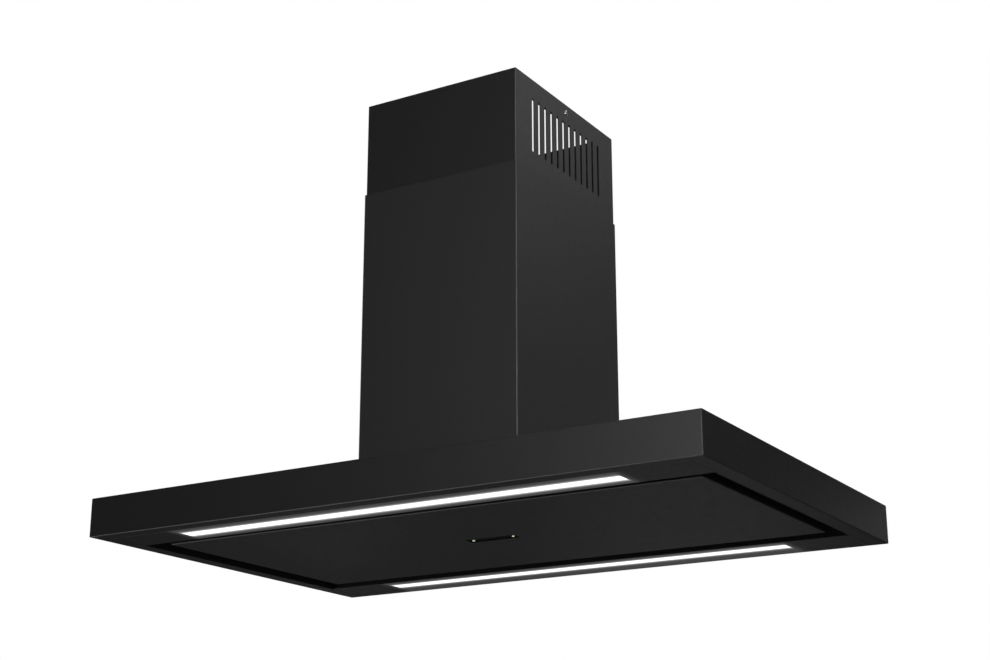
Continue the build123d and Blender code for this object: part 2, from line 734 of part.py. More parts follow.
with BuildPart() as cable_grommet:
    grommet_layers = (
        (box_top, grommet_radius + grommet_rim, grommet_lip),
        (box_top, grommet_radius, -box_sheet),
        (box_top - box_sheet, grommet_radius + grommet_rim, -grommet_lip),
    )
    for height, radius, thickness in grommet_layers:
        with BuildSketch(Plane.XY.offset(height)):
            with Locations(grommet_place):
                Circle(radius)
                Circle(grommet_bore, mode=Mode.SUBTRACT)
        extrude(amount=thickness)
cable_grommet.part.label = "cable_grommet"
export_step(cable_grommet.part, "parts/cable_grommet.step")

# ---- suction cavity: light plates, lights and side rails ----

for end, sy in ends.items():
    with BuildPart() as light_plate:
        path = [
            (sy * (well_y - seam), canopy_bottom + flange_lip),
            (sy * (well_y - seam), canopy_bottom),
            (sy * cavity_y, canopy_bottom),
            (sy * cavity_y, roof),
            (sy * (cavity_y + wall_fold), roof),
        ]
        with BuildSketch(Plane.YZ):
            add(folded(path, canopy_sheet, Side.RIGHT if sy > 0 else Side.LEFT))
        extrude(amount=well_x - seam, both=True)
        with BuildSketch(Plane.XY.offset(canopy_bottom)):
            with Locations((0, sy * light_middle)):
                Rectangle(light_length, light_width)
        extrude(amount=canopy_sheet, mode=Mode.SUBTRACT)
    light_plate.part.label = f"{end}_light_plate"
    export_step(light_plate.part, f"parts/{end}_light_plate.step")

    with BuildPart() as light_channel:
        path = [
            (sy * light_middle - channel_width / 2, plate_top),
            (sy * light_middle - channel_width / 2, plate_top + channel_height),
            (sy * light_middle + channel_width / 2, plate_top + channel_height),
            (sy * light_middle + channel_width / 2, plate_top),
        ]
        with BuildSketch(Plane.YZ):
            add(folded(path, canopy_sheet))
        extrude(amount=light_length / 2 + channel_width / 4, both=True)
    light_channel.part.label = f"{end}_light_channel"
    export_step(light_channel.part, f"parts/{end}_light_channel.step")

    with BuildPart() as led_board:
        with BuildSketch(Plane.XY.offset(plate_top + channel_height - canopy_sheet)):
            with Locations((0, sy * light_middle)):
                Rectangle(light_length, led_board_width)
        extrude(amount=-led_board_sheet)
    led_board.part.label = f"{end}_led_board"
    export_step(led_board.part, f"parts/{end}_led_board.step")

    with BuildPart() as diffuser:
        with BuildSketch(Plane.XY.offset(plate_top)):
            with Locations((0, sy * light_middle)):
                Rectangle(light_length - 2 * fit_gap, light_width - 2 * fit_gap)
        extrude(amount=fit_gap - canopy_sheet)
        with BuildSketch(Plane.XY.offset(plate_top)):
            with Locations((0, sy * light_middle)):
                Rectangle(light_length + channel_width / 4,
                          channel_width - 2 * (canopy_sheet + fit_gap))
        extrude(amount=diffuser_rim)
    diffuser.part.label = f"{end}_diffuser"
    export_step(diffuser.part, f"parts/{end}_diffuser.step")

for side, sx in sides.items():
    with BuildPart() as side_rail:
        path = [
            (sx * cavity_x, canopy_bottom),
            (sx * cavity_x, roof),
            (sx * (cavity_x + wall_fold), roof),
        ]
        with BuildSketch(Plane.XZ):
            add(folded(path, canopy_sheet, Side.RIGHT if sx > 0 else Side.LEFT))
        extrude(amount=cavity_y - fit_gap, both=True)
    side_rail.part.label = f"{side}_side_rail"
    export_step(side_rail.part, f"parts/{side}_side_rail.step")

# ---- filter pan, filters and their latches ----

filter_places = {side: sx * filter_spacing / 2 for side, sx in sides.items()}
with BuildPart() as filter_pan:
    with BuildSketch(Plane.XY.offset(pan_bottom)):
        Rectangle(pan_width, pan_depth)
    extrude(amount=pan_drop)
    with BuildSketch(Plane.XY.offset(roof)):
        Rectangle(pan_width + 2 * pan_fold, pan_depth + 2 * pan_fold)
    extrude(amount=-pan_sheet)
    with BuildSketch(Plane.XY.offset(pan_bottom + pan_sheet)):
        Rectangle(pan_width - 2 * pan_sheet, pan_depth - 2 * pan_sheet)
    extrude(amount=pan_drop - pan_sheet, mode=Mode.SUBTRACT)
    with BuildSketch(Plane.XY.offset(pan_bottom)):
        with GridLocations(filter_spacing, 0, 2, 1):
            Rectangle(filter_width - 2 * rail_shelf, filter_depth - 2 * rail_shelf)
    extrude(amount=pan_sheet, mode=Mode.SUBTRACT)
    # rear ledge under the filters, and the front rail that takes their latches
    rear_path = [
        (rail_y + pan_sheet, pan_bottom),
        (rail_y + pan_sheet, shelf_top - pan_sheet),
        (rail_y + pan_sheet - rail_shelf, shelf_top - pan_sheet),
    ]
    with BuildSketch(Plane.YZ):
        add(folded(rear_path, pan_sheet))
        with Locations((-rail_y, pan_bottom)):
            Rectangle(pan_sheet, pan_bottom - shelf_top, align=Align.MAX)
    extrude(amount=(filter_spacing + filter_width) / 2, both=True)
    with BuildSketch(Plane.XZ.offset(rail_y)):
        with Locations((0, latch_z)):
            with GridLocations(filter_spacing, 0, 2, 1):
                Rectangle(latch_nose_width + 2 * fit_gap, latch_plate[2] + 2 * fit_gap)
    extrude(amount=pan_sheet, mode=Mode.SUBTRACT)
filter_pan.part.label = "filter_pan"
export_step(filter_pan.part, "parts/filter_pan.step")

front_face = -filter_depth / 2
pocket_front = front_face + latch_front_wall
mesh_front = front_face + filter_front_bar
mesh_rear = filter_depth / 2 - filter_bar
mesh_middle = (mesh_front + mesh_rear) / 2
mesh_length = mesh_rear - mesh_front
mesh_width = filter_width - 2 * filter_bar
groove_z = (filter_top + filter_bottom - mesh_thickness) / 2
for side, middle in filter_places.items():
    with BuildPart() as filter_frame:
        with BuildSketch(Plane.XY.offset(filter_bottom)):
            with Locations((middle, 0)):
                RectangleRounded(filter_width, filter_depth, filter_corner)
            with Locations((middle, mesh_middle)):
                Rectangle(mesh_width, mesh_length, mode=Mode.SUBTRACT)
        extrude(amount=filter_thickness)
        with BuildSketch(Plane.XY.offset(groove_z)):
            with Locations((middle, mesh_middle)):
                Rectangle(mesh_width + 2 * filter_groove, mesh_length + 2 * filter_groove)
        extrude(amount=mesh_thickness, mode=Mode.SUBTRACT)
        with BuildSketch(Plane.XY.offset(filter_bottom)):
            with Locations((middle, pocket_front + latch_pocket[1] / 2)):
                Rectangle(latch_pocket[0], latch_pocket[1])
        extrude(amount=latch_pocket[2], mode=Mode.SUBTRACT)
        # guide channels for the latch's nose and tail
        with BuildSketch(Plane.XZ.offset(-front_face)):
            with Locations((middle, latch_z)):
                Rectangle(latch_nose_width + 2 * latch_play, latch_plate[2] + 2 * latch_play)
        extrude(amount=filter_groove + seam - filter_front_bar, mode=Mode.SUBTRACT)
    filter_frame.part.label = f"{side}_filter_frame"
    export_step(filter_frame.part, f"parts/{side}_filter_frame.step")

    with BuildPart() as filter_mesh:
        with BuildSketch(Plane.XY.offset(groove_z)):
            with Locations((middle, mesh_middle)):
                Rectangle(mesh_width + 2 * (filter_groove - fit_gap),
                          mesh_length + 2 * (filter_groove - fit_gap))
        extrude(amount=mesh_thickness)
    filter_mesh.part.label = f"{side}_filter_mesh"
    export_step(filter_mesh.part, f"parts/{side}_filter_mesh.step")

    with BuildPart() as filter_latch:
        with BuildSketch(Plane.XY.offset(latch_z - latch_plate[2] / 2)):
            with Locations((middle, pocket_front + seam)):
                Rectangle(latch_plate[0], latch_plate[1], align=(Align.CENTER, Align.MIN))
            with Locations((middle, front_face - latch_reach)):
                nose_length = latch_reach + latch_front_wall + seam + latch_plate[1] + latch_tail
                Rectangle(latch_nose_width, nose_length, align=(Align.CENTER, Align.MIN))
        extrude(amount=latch_plate[2])
        with BuildSketch(Plane.XY.offset(latch_z - latch_plate[2] / 2)):
            with Locations((middle, pocket_front + latch_plate[1] / 2)):
                SlotOverall(pull_length, pull_height)
        extrude(amount=-pull_height)
    filter_latch.part.label = f"{side}_filter_latch"
    export_step(filter_latch.part, f"parts/{side}_filter_latch.step")

# ---- suction panel, its hinges and catches ----

with BuildPart() as suction_panel:
    with BuildSketch(Plane.XY.offset(panel_bottom)):
        RectangleRounded(panel_width, panel_depth, panel_edge)
    extrude(amount=panel_lip)
    fillet(suction_panel.faces().sort_by(Axis.Z)[0].edges(), fold_radius)
    with BuildSketch(Plane.XY.offset(panel_inside)):
        Rectangle(panel_width - 2 * canopy_sheet, panel_depth - 2 * canopy_sheet)
    extrude(amount=panel_lip - canopy_sheet, mode=Mode.SUBTRACT)
    # notches that let the rear lip pass the hinge ears
    with BuildSketch(Plane.XY.offset(panel_inside)):
        with Locations((0, panel_depth / 2 - canopy_sheet)):
            with GridLocations(hinge_spacing, 0, 2, 1):
                Rectangle(hinge_notch, 2 * canopy_sheet)
    extrude(amount=panel_lip, mode=Mode.SUBTRACT)
    with BuildSketch(Plane.XY.offset(panel_bottom)):
        RectangleRounded(*sensor_slot, panel_edge)
    extrude(amount=canopy_sheet, mode=Mode.SUBTRACT)
suction_panel.part.label = "suction_panel"
export_step(suction_panel.part, "parts/suction_panel.step")

with BuildPart() as hinge_brackets:
    for sx in sides.values():
        middle = sx * hinge_spacing / 2
        with BuildSketch(Plane.XY.offset(roof)):
            with Locations((middle, hinge_y)):
                RectangleRounded(*hinge_foot, hinge_ear_radius)
        extrude(amount=-hinge_ear_sheet)
        for turn in (-1, 1):
            with BuildSketch(Plane.YZ.offset(middle + turn * (hinge_knuckle_length / 2 + fit_gap))):
                with Locations((hinge_y, hinge_z)):
                    Rectangle(2 * hinge_ear_radius, roof - hinge_z, align=(Align.CENTER, Align.MIN))
                    Circle(hinge_ear_radius)
                    Circle(hinge_pin_radius + running_gap, mode=Mode.SUBTRACT)
            extrude(amount=turn * hinge_ear_sheet)
hinge_brackets.part.label = "hinge_brackets"
export_step(hinge_brackets.part, "parts/hinge_brackets.step")

with BuildPart() as hinge_pins:
    for sx in sides.values():
        middle = sx * hinge_spacing / 2
        pin_reach = hinge_knuckle_length / 2 + fit_gap + hinge_ear_sheet + running_gap
        with BuildSketch(Plane.YZ.offset(middle)):
            with Locations((hinge_y, hinge_z)):
                Circle(hinge_pin_radius)
        extrude(amount=pin_reach, both=True)
        for turn in (-1, 1):
            with BuildSketch(Plane.YZ.offset(middle + turn * pin_reach)):
                with Locations((hinge_y, hinge_z)):
                    Circle(hinge_pin_head[0])
            extrude(amount=turn * hinge_pin_head[1])
hinge_pins.part.label = "hinge_pins"
export_step(hinge_pins.part, "parts/hinge_pins.step")

with BuildPart() as hinge_leaves:
    for sx in sides.values():
        middle = sx * hinge_spacing / 2
        with BuildSketch(Plane.XY.offset(panel_inside)):
            with Locations((middle, hinge_y + hinge_rise)):
                Rectangle(*leaf_size, align=(Align.CENTER, Align.MAX))
        extrude(amount=leaf_sheet)
        with BuildSketch(Plane.YZ.offset(middle)):
            with Locations((hinge_y, hinge_z)):
                Rectangle(hinge_web, hinge_rise, align=(Align.CENTER, Align.MAX))
                Circle(hinge_ear_radius)
        extrude(amount=hinge_knuckle_length / 2, both=True)
        with BuildSketch(Plane.YZ.offset(middle)):
            with Locations((hinge_y, hinge_z)):
                Circle(hinge_pin_radius + running_gap)
        extrude(amount=hinge_knuckle_length / 2, both=True, mode=Mode.SUBTRACT)
hinge_leaves.part.label = "hinge_leaves"
export_step(hinge_leaves.part, "parts/hinge_leaves.step")

strike_top = panel_inside + strike_size[2]
magnet_bottom = strike_top + fit_gap
shelf_bottom = magnet_bottom + magnet_size[2]
with BuildPart() as catch_brackets:
    web_y = catch_y + catch_shelf / 2
    path = [
        (web_y + catch_foot, roof),
        (web_y, roof),
        (web_y, shelf_bottom + catch_sheet),
        (web_y - catch_shelf, shelf_bottom + catch_sheet),
    ]
    for sx in sides.values():
        with BuildSketch(Plane.YZ.offset(sx * hinge_spacing / 2)):
            add(folded(path, catch_sheet, Side.LEFT))
        extrude(amount=magnet_size[0] / 2 + 1, both=True)
catch_brackets.part.label = "catch_brackets"
export_step(catch_brackets.part, "parts/catch_brackets.step")

with BuildPart() as catch_magnets:
    with BuildSketch(Plane.XY.offset(shelf_bottom)):
        with Locations((0, catch_y)):
            with GridLocations(hinge_spacing, 0, 2, 1):
                Rectangle(magnet_size[0], magnet_size[1])
    extrude(amount=-magnet_size[2])
catch_magnets.part.label = "catch_magnets"
export_step(catch_magnets.part, "parts/catch_magnets.step")

with BuildPart() as catch_strikes:
    with BuildSketch(Plane.XY.offset(panel_inside)):
        with Locations((0, catch_y)):
            with GridLocations(hinge_spacing, 0, 2, 1):
                Rectangle(strike_size[0], strike_size[1])
    extrude(amount=strike_size[2])
catch_strikes.part.label = "catch_strikes"
export_step(catch_strikes.part, "parts/catch_strikes.step")

# ---- sensor in the middle of the panel ----

with BuildPart() as sensor_housing:
    with BuildSketch(Plane.XY.offset(panel_inside)):
        RectangleRounded(sensor_box[0], sensor_box[1], box_corner)
    extrude(amount=sensor_box[2])
    fillet(sensor_housing.faces().sort_by(Axis.Z)[-1].edges(), box_edge)
    with BuildSketch(Plane.XY.offset(panel_inside)):
        Rectangle(window_size[0] + 2 * fit_gap, window_size[1] + 2 * fit_gap)
    extrude(amount=sensor_box[2] - sensor_wall, mode=Mode.SUBTRACT)
sensor_housing.part.label = "sensor_housing"
export_step(sensor_housing.part, "parts/sensor_housing.step")

with BuildPart() as sensor_window:
    with BuildSketch(Plane.XY.offset(panel_inside)):
        Rectangle(window_size[0], window_size[1])
        with Locations((0, light_dot_offset)):
            with GridLocations(light_dot_spacing, 0, 2, 1):
                Circle(light_dot_radius + running_gap, mode=Mode.SUBTRACT)
    extrude(amount=window_size[2])
sensor_window.part.label = "sensor_window"
export_step(sensor_window.part, "parts/sensor_window.step")

with BuildPart() as status_lights:
    with BuildSketch(Plane.XY.offset(panel_bottom + fit_gap)):
        with Locations((0, light_dot_offset)):
            with GridLocations(light_dot_spacing, 0, 2, 1):
                Circle(light_dot_radius)
    extrude(amount=canopy_sheet + window_size[2])
status_lights.part.label = "status_lights"
export_step(status_lights.part, "parts/status_lights.step")

# ---- electrics beside the filters ----

with BuildPart() as control_box:
    with BuildSketch(Plane.XY.offset(roof)):
        with Locations((electrics_offset, 0)):
            RectangleRounded(control_size[0], control_size[1], box_corner)
    extrude(amount=-control_size[2])
    with BuildSketch(Plane.XY.offset(roof - control_wall)):
        with Locations((electrics_offset, 0)):
            Rectangle(control_size[0] - 2 * control_wall, control_size[1] - 2 * control_wall)
    extrude(amount=-control_size[2], mode=Mode.SUBTRACT)
control_box.part.label = "control_box"
export_step(control_box.part, "parts/control_box.step")

with BuildPart() as control_box_lid:
    with BuildSketch(Plane.XY.offset(roof - control_size[2])):
        with Locations((electrics_offset, 0)):
            RectangleRounded(control_size[0], control_size[1], box_corner)
    extrude(amount=-control_wall)
    fillet(control_box_lid.faces().sort_by(Axis.Z)[0].edges(), control_wall / 2)
control_box_lid.part.label = "control_box_lid"
export_step(control_box_lid.part, "parts/control_box_lid.step")

with BuildPart() as led_driver:
    with BuildSketch(Plane.XY.offset(roof)):
        with Locations((-electrics_offset, 0)):
            RectangleRounded(driver_size[0], driver_size[1], box_corner)
    extrude(amount=-driver_size[2])
    fillet(led_driver.faces().sort_by(Axis.Z)[0].edges(), box_edge)
    with BuildSketch(Plane.XY.offset(roof)):
        with Locations((-electrics_offset, 0)):
            SlotOverall(driver_size[1] + 2 * driver_ear, driver_ear, rotation=90)
    extrude(amount=-control_wall)
led_driver.part.label = "led_driver"
export_step(led_driver.part, "parts/led_driver.step")
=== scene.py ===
# Island chimney hood seen from below: the CAD frame gets its finishes here, and the pieces that
# its solids are too plain for (cover sheets, light plates, screws, filter mesh) are modelled anew.
import math

import bmesh
import bpy
from mathutils import Matrix, Vector


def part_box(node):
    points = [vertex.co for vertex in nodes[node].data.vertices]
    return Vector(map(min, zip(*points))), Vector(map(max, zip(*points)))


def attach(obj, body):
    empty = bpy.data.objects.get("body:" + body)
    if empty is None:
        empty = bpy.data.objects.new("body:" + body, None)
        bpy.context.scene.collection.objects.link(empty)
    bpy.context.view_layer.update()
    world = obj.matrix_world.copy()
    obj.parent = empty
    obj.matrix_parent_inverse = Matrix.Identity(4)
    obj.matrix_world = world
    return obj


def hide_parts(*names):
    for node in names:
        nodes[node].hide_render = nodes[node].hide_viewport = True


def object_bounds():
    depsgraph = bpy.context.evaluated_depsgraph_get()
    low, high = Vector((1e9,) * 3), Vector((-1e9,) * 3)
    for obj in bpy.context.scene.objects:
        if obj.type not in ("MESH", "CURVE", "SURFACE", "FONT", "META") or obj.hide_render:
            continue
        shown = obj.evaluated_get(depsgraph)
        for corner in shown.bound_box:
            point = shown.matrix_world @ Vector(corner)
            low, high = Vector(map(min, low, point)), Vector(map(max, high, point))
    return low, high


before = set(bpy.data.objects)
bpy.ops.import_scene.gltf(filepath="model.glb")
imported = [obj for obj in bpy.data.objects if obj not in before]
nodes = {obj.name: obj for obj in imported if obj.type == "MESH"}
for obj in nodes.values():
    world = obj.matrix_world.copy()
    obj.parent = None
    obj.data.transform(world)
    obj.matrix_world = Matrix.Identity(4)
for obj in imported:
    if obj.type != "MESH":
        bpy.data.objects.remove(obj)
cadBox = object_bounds()
print("frame loaded,", len(nodes), "nodes")


def linear(hexColour):
    parts = [int(hexColour[i:i + 2], 16) / 255 for i in (1, 3, 5)]
    return (*[p / 12.92 if p <= 0.04045 else ((p + 0.055) / 1.055) ** 2.4 for p in parts], 1.0)


def addNode(tree, kind, inputs=None, **settings):
    node = tree.nodes.new("ShaderNode" + kind)
    for key, value in settings.items():
        setattr(node, key, value)
    for key, value in (inputs or {}).items():
        if isinstance(value, bpy.types.NodeSocket):
            tree.links.new(value, node.inputs[key])
        else:
            node.inputs[key].default_value = value
    return node


def startMaterial(name, colour, roughness, metallic=0.0):
    material = bpy.data.materials.new(name)
    material.use_nodes = True
    tree = material.node_tree
    shader = tree.nodes["Principled BSDF"]
    shader.inputs["Base Color"].default_value = linear(colour)
    shader.inputs["Roughness"].default_value = roughness
    shader.inputs["Metallic"].default_value = metallic
    place = addNode(tree, "TexCoord").outputs["Object"]
    return material, tree, shader, place


def perMetre(millimetres):
    return 1000 / millimetres  # a texture's scale for a grain of that size


def wear(material, *names):
    for name in names:
        for slot in nodes[name].material_slots:
            slot.material = material


def newPiece(name, bm, material, body, stands=()):
    mesh = bpy.data.meshes.new(name)
    bm.to_mesh(mesh)
    bm.free()
    piece = bpy.data.objects.new(name, mesh)
    bpy.context.scene.collection.objects.link(piece)
    mesh.materials.append(material)
    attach(piece, body)
    if stands:
        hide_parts(*stands)


# Polyester powder coat on steel sheet, baked satin black: soft sheen, a faint orange peel and a
# finer grain, drawn as coarse as it needs to show at this distance. Here and below, the size of a
# pattern is in millimetres, and depths and reaches are in metres.
coat = {
    "tones": ("#151516", "#1f1f20"),
    "roughness": 0.46,
    "lowerTones": ("#1f1f20", "#282829"),  # the lower covers are drawn a shade lighter than the upper ones
    "lowerRoughness": 0.5,
    "roughnessSpread": 0.02,
    "grainSize": 1.4,
    "grainDepth": 0.000004,
    "fleckFrom": 0.5,
    "fleckTo": 0.8,
    "peelSize": 7.0,
    "peelDepth": 0.000006,
    "peelFrom": 0.3,
    "peelTo": 0.7,
    "paintedHighlight": "#59595a",  # painted highlight: a paler colour along bends and edges, in place of their sheen
    "bendReach": 0.0013,
    "rimReach": 0.0009,
    "panelReach": 0.0016,
    "paintedHighlightFade": 0.0003,
}
spill = {  # a painted glow: the sheet beside the strips emits, standing in for the light they spill over it
    "near": 0.95,  # a tight glow at the slot's edge
    "nearReach": 0.0029,
    "far": 0.045,  # and a wide, faint one
    "farReach": 0.06,
    "endSqueeze": 8.0,  # it dies away faster past a slot's ends
    "slotHalf": (0.326, 0.01),
    "skin": 0.0002,  # only faces this near the underside are painted with the glow
    "colour": "#fbfbfb",
}
lightLow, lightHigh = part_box("front_diffuser")
slotMiddle = abs(lightLow.y + lightHigh.y) / 2


def powderCoat(name, roughness=coat["roughness"], tones=coat["tones"], spillSide=None,
               bends=None, rim=None, frontEdge=None):
    # bends, rim and frontEdge each name the node whose own edges get a painted highlight line
    material, tree, shader, place = startMaterial(name, tones[0], roughness)
    grain = addNode(tree, "TexNoise", {
        "Vector": place, "Scale": perMetre(coat["grainSize"]), "Detail": 2.0})
    peel = addNode(tree, "TexNoise", {
        "Vector": place, "Scale": perMetre(coat["peelSize"]), "Detail": 1.0})
    fleck = addNode(tree, "MapRange", {
        "Value": grain.outputs["Fac"], "From Min": coat["fleckFrom"],
        "From Max": coat["fleckTo"]})
    tint = addNode(tree, "Mix", {
        "Factor": fleck.outputs["Result"], "A": linear(tones[0]),
        "B": linear(tones[1])}, data_type="RGBA")
    tree.links.new(tint.outputs["Result"], shader.inputs["Base Color"])
    rough = addNode(tree, "MapRange", {
        "Value": peel.outputs["Fac"], "From Min": coat["peelFrom"], "From Max": coat["peelTo"],
        "To Min": roughness - coat["roughnessSpread"],
        "To Max": roughness + coat["roughnessSpread"]})
    tree.links.new(rough.outputs["Result"], shader.inputs["Roughness"])
    coarse = addNode(tree, "Bump", {"Height": peel.outputs["Fac"], "Distance": coat["peelDepth"]})
    fine = addNode(tree, "Bump", {"Height": grain.outputs["Fac"], "Distance": coat["grainDepth"],
                                  "Normal": coarse.outputs["Normal"]})
    tree.links.new(fine.outputs["Normal"], shader.inputs["Normal"])
    # painted highlight: the colour turns paler in a thin band along the named node's outer edges
    if bends or rim or frontEdge:
        low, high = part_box(bends or rim or frontEdge)
        if frontEdge:
            reach = coat["panelReach"]
            # only the front and the underside count
            facing = addNode(tree, "VectorMath", {0: place, 1: (0, -1, -1)}, operation="MULTIPLY")
        else:
            reach = coat["rimReach"] if rim else coat["bendReach"]
            facing = addNode(tree, "VectorMath", {0: place}, operation="ABSOLUTE")
        limits = (high.x - reach, high.y - reach, -low.z - reach)
        inside = addNode(tree, "VectorMath", {0: facing.outputs[0], 1: limits},
                         operation="SUBTRACT")
        sides = addNode(tree, "SeparateXYZ", {"Vector": inside.outputs[0]})
        # upright corners lie far out in X and Y, lower edges far out in Y and Z
        nearer = addNode(tree, "Math", {
            0: sides.outputs["X" if bends else "Z"], 1: sides.outputs["Y"]}, operation="MINIMUM")
        paintedHighlightMask = addNode(tree, "MapRange", {
            "Value": nearer.outputs[0], "From Max": coat["paintedHighlightFade"]})
        paintedHighlightTint = addNode(tree, "Mix", {
            "Factor": paintedHighlightMask.outputs["Result"], "A": tint.outputs["Result"],
            "B": linear(coat["paintedHighlight"])}, data_type="RGBA")
        tree.links.new(paintedHighlightTint.outputs["Result"], shader.inputs["Base Color"])
    if spillSide is None:
        return material

    # distance from the nearer slot, folded so that one sum serves both strips and both ends
    folded = addNode(tree, "VectorMath", {0: place}, operation="ABSOLUTE")
    across = addNode(tree, "VectorMath", {
        0: folded.outputs[0], 1: (0, slotMiddle, 0)}, operation="SUBTRACT")
    either = addNode(tree, "VectorMath", {0: across.outputs[0]}, operation="ABSOLUTE")
    past = addNode(tree, "VectorMath", {
        0: either.outputs[0], 1: (*spill["slotHalf"], 0)}, operation="SUBTRACT")
    outside = addNode(tree, "VectorMath", {0: past.outputs[0]}, operation="MAXIMUM")
    shaped = addNode(tree, "VectorMath", {
        0: outside.outputs[0], 1: (spill["endSqueeze"], 1, 0)}, operation="MULTIPLY")
    away = addNode(tree, "VectorMath", {0: shaped.outputs[0]}, operation="LENGTH")
    falling = addNode(tree, "Math", {
        0: away.outputs["Value"], 1: -1 / spill["nearReach"]}, operation="MULTIPLY")
    near = addNode(tree, "Math", {0: falling.outputs[0]}, operation="EXPONENT")
    wide = addNode(tree, "Math", {
        0: away.outputs["Value"], 1: 1 / spill["farReach"]}, operation="MULTIPLY")
    squared = addNode(tree, "Math", {0: wide.outputs[0], 1: 2.0}, operation="POWER")
    turned = addNode(tree, "Math", {0: squared.outputs[0], 1: -1.0}, operation="MULTIPLY")
    far = addNode(tree, "Math", {0: turned.outputs[0]}, operation="EXPONENT")
    dimmed = addNode(tree, "Math", {0: far.outputs[0], 1: spill["far"]}, operation="MULTIPLY")
    both = addNode(tree, "Math", {
        0: near.outputs[0], 1: spill["near"], 2: dimmed.outputs[0]}, operation="MULTIPLY_ADD")
    axes = addNode(tree, "SeparateXYZ", {"Vector": place})
    below = addNode(tree, "Math", {
        0: axes.outputs["Z"], 1: cadBox[0].z + spill["skin"]}, operation="LESS_THAN")
    glow = addNode(tree, "Math", {0: both.outputs[0], 1: below.outputs[0]}, operation="MULTIPLY")
    if spillSide == "rear":
        behind = addNode(tree, "Math", {0: axes.outputs["Y"], 1: 0.0}, operation="GREATER_THAN")
        glow = addNode(tree, "Math", {
            0: glow.outputs[0], 1: behind.outputs[0]}, operation="MULTIPLY")
    # painted glow: the sheet itself emits here, though it is no lamp
    tree.links.new(glow.outputs[0], shader.inputs["Emission Strength"])
    shader.inputs["Emission Color"].default_value = linear(spill["colour"])
    return material


wear(powderCoat("satinPowderCoat"), "left_side_rail", "right_side_rail")
wear(powderCoat("satinPowderCoatPanel", frontEdge="suction_panel"), "suction_panel")
wear(powderCoat("satinPowderCoatUpperCover", bends="upper_chimney_cover"), "upper_chimney_cover")
coatLower = powderCoat("satinPowderCoatLowerCover", coat["lowerRoughness"], coat["lowerTones"],
                       bends="lower_cover_rear")
wear(coatLower, "lower_cover_front", "lower_cover_rear")
wear(powderCoat("satinPowderCoatPaintedRimAndRearGlow", spillSide="rear", rim="canopy_shell"), "canopy_shell")
coatPaintedGlow = powderCoat("satinPowderCoatPaintedGlow", spillSide="both")
wear(coatPaintedGlow, "front_light_plate", "rear_light_plate")

# Hot-dip galvanised steel sheet: dull silver, with a spangle of crystals a centimetre across.
zincSheet = {"colour": "#a9adb0", "dark": "#8f9396", "metallic": 0.6, "roughness": 0.42,
             "smooth": 0.32, "rough": 0.52, "spangle": 9.0, "warp": 14.0, "bend": 0.006}
galvanised, tree, shader, place = startMaterial(
    "galvanisedSteelSheet", zincSheet["colour"], zincSheet["roughness"], zincSheet["metallic"])
warp = addNode(tree, "TexNoise", {"Vector": place, "Scale": perMetre(zincSheet["warp"])})
bent = addNode(tree, "VectorMath", {
    0: warp.outputs["Color"], "Scale": zincSheet["bend"]}, operation="SCALE")
moved = addNode(tree, "VectorMath", {0: place, 1: bent.outputs[0]}, operation="ADD")
crystals = addNode(tree, "TexVoronoi", {
    "Vector": moved.outputs[0], "Scale": perMetre(zincSheet["spangle"])})
tone = addNode(tree, "SeparateColor", {"Color": crystals.outputs["Color"]})
mixed = addNode(tree, "Mix", {
    "Factor": tone.outputs["Red"], "A": linear(zincSheet["dark"]),
    "B": linear(zincSheet["colour"])}, data_type="RGBA")
tree.links.new(mixed.outputs["Result"], shader.inputs["Base Color"])
rough = addNode(tree, "MapRange", {
    "Value": tone.outputs["Green"], "To Min": zincSheet["smooth"], "To Max": zincSheet["rough"]})
tree.links.new(rough.outputs["Result"], shader.inputs["Roughness"])
wear(galvanised, "blower_box", "filter_pan", "motor_bracket", "hinge_brackets",
     "hinge_leaves", "catch_brackets", "catch_strikes")

# Bright zinc electroplate on machined fasteners: silver with a faint blue and straw bloom.
zincPlate = {"colour": "#c3c4c0", "blue": "#b9c0c8", "straw": "#cbc6ae", "bloom": 6.0,
             "roughness": 0.3}
plated, tree, shader, place = startMaterial(
    "brightZincPlate", zincPlate["colour"], zincPlate["roughness"], 1.0)
bloom = addNode(tree, "TexNoise", {
    "Vector": place, "Scale": perMetre(zincPlate["bloom"]), "Detail": 3.0})
tint = addNode(tree, "Mix", {
    "Factor": bloom.outputs["Fac"], "A": linear(zincPlate["blue"]),
    "B": linear(zincPlate["straw"])}, data_type="RGBA")
tree.links.new(tint.outputs["Result"], shader.inputs["Base Color"])
wear(plated, "bracket_bolts", "height_bolts", "hinge_pins", "cover_screws")

# Steel angles, zinc plated and passivated black: the film is thin enough to stay half metallic and
# clouded. Their near-black tone is also painted shade, so that nothing shines behind the vents.
passivated = {"colour": "#242526", "cloudy": "#2f3031", "cloud": 18.0, "metallic": 0.5,
              "roughness": 0.5, "smooth": 0.42, "rough": 0.6}
blackZincAndVentShade, tree, shader, place = startMaterial(
    "blackPassivatedZincAndVentShade", passivated["colour"], passivated["roughness"], passivated["metallic"])
clouds = addNode(tree, "TexNoise", {
    "Vector": place, "Scale": perMetre(passivated["cloud"]), "Detail": 3.0})
film = addNode(tree, "Mix", {
    "Factor": clouds.outputs["Fac"], "A": linear(passivated["colour"]),
    "B": linear(passivated["cloudy"])}, data_type="RGBA")
tree.links.new(film.outputs["Result"], shader.inputs["Base Color"])
dull = addNode(tree, "MapRange", {
    "Value": clouds.outputs["Fac"], "To Min": passivated["smooth"], "To Max": passivated["rough"]})
tree.links.new(dull.outputs["Result"], shader.inputs["Roughness"])
corners = [f"{end}_{side}" for end in ("front", "rear") for side in ("left", "right")]
wear(blackZincAndVentShade, "ceiling_bracket", *[f"upper_upright_{corner}" for corner in corners],
     *[f"lower_upright_{corner}" for corner in corners])

